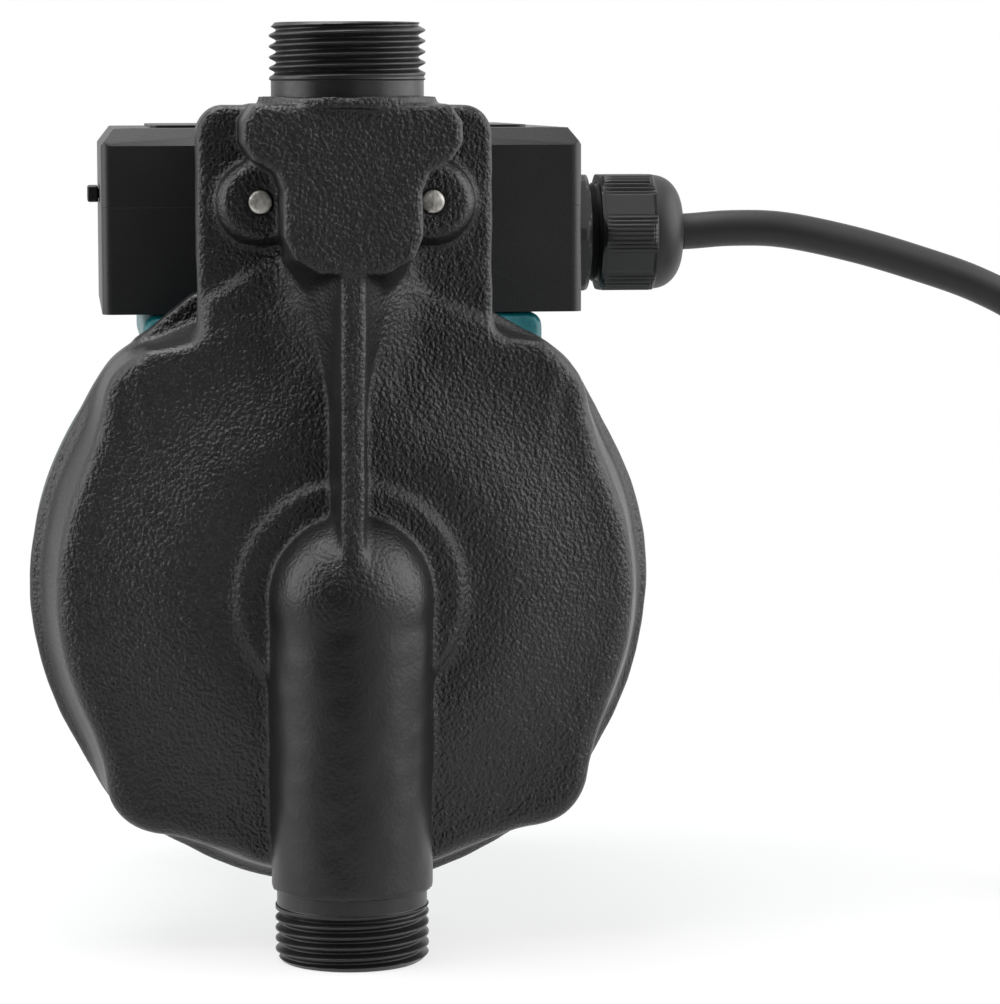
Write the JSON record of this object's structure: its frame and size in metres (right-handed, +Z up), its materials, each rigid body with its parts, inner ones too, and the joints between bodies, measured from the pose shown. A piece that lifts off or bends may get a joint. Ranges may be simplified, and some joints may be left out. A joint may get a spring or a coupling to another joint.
{
  "type": "circulation pump",
  "caption": "Small in-line circulation pump: black cast head with coaxial threaded ports and elbow, wet-rotor motor, flow flap, terminal box, cable gland and coiled cord with plug.",
  "frame": {"origin": "centre of the inlet port's end face", "axes": "+Z up along the port axis towards the outlet, +Y back along the motor shaft, +X towards the cable gland's side"},
  "size_m": [0.2964, 0.1498, 0.16],
  "materials": {
    "cast_black": "black textured paint on cast iron",
    "motor_paint": "satin teal paint",
    "box_plastic": "satin black",
    "gland_plastic": "matt black",
    "cord_rubber": "matt black",
    "seal_rubber": "matt",
    "screw_steel": "bright zinc",
    "inner_steel": "bare",
    "core_steel": "oxidised laminations",
    "copper_wire": "enamelled copper",
    "turned_brass": "turned",
    "ceramic": "white",
    "carbon": "grey carbon",
    "white_plastic": "natural",
    "board_green": "lacquered"
  },
  "bodies": {
    "pump": {"pump_housing": "cast_black", "wear_ring": "inner_steel", "housing_gasket": "seal_rubber", "bearing_plate": "inner_steel", "flange_bolts": "screw_steel", "motor_housing": "motor_paint", "stator_core": "core_steel", "stator_windings": "copper_wire", "rotor_can": "inner_steel", "front_bearing": "carbon", "rear_bearing": "carbon", "thrust_washer": "ceramic", "vent_plug": "turned_brass", "vent_seal": "seal_rubber", "lead_grommet": "seal_rubber", "terminal_box_base": "box_plastic", "terminal_box_cover": "box_plastic", "box_gasket": "seal_rubber", "box_screws": "screw_steel", "cover_screws": "screw_steel", "neck_screws": "screw_steel", "terminal_block": "white_plastic", "capacitor": "white_plastic", "control_board": "board_green", "switch_body": "carbon", "reed_switch": "carbon", "flap_seat": "white_plastic", "flap_pin": "inner_steel", "gland_body": "gland_plastic", "gland_locknut": "gland_plastic", "gland_seal": "seal_rubber", "gland_nut": "gland_plastic", "lead_in": "cord_rubber", "cord": "cord_rubber", "cord_coil": "cord_rubber", "plug_lead": "cord_rubber", "plug": "cord_rubber", "plug_pins": "screw_steel"},
    "rotor": {"shaft": "ceramic", "rotor_core": "inner_steel", "impeller": "white_plastic", "impeller_shroud": "white_plastic", "impeller_nut": "turned_brass"},
    "flap": {"flow_flap": "white_plastic", "flap_magnet": "inner_steel"},
    "selector": {"selector_knob": "box_plastic"}
  },
  "joints": [
    {"name": "rotor_spin", "type": "hinge", "parent": "pump", "child": "rotor", "pos_m": [0, 0, 0.0627], "axis": [0, 1, 0], "continuous": true},
    {"name": "flap_swing", "type": "hinge", "parent": "pump", "child": "flap", "pos_m": [0, 0.0055, 0.13175], "axis": [-1, 0, 0], "range_deg": [0, 60]},
    {"name": "selector_slide", "type": "slide", "parent": "pump", "child": "selector", "axis": [0, 1, 0], "range_m": [-0.004, 0.004]}
  ]
}
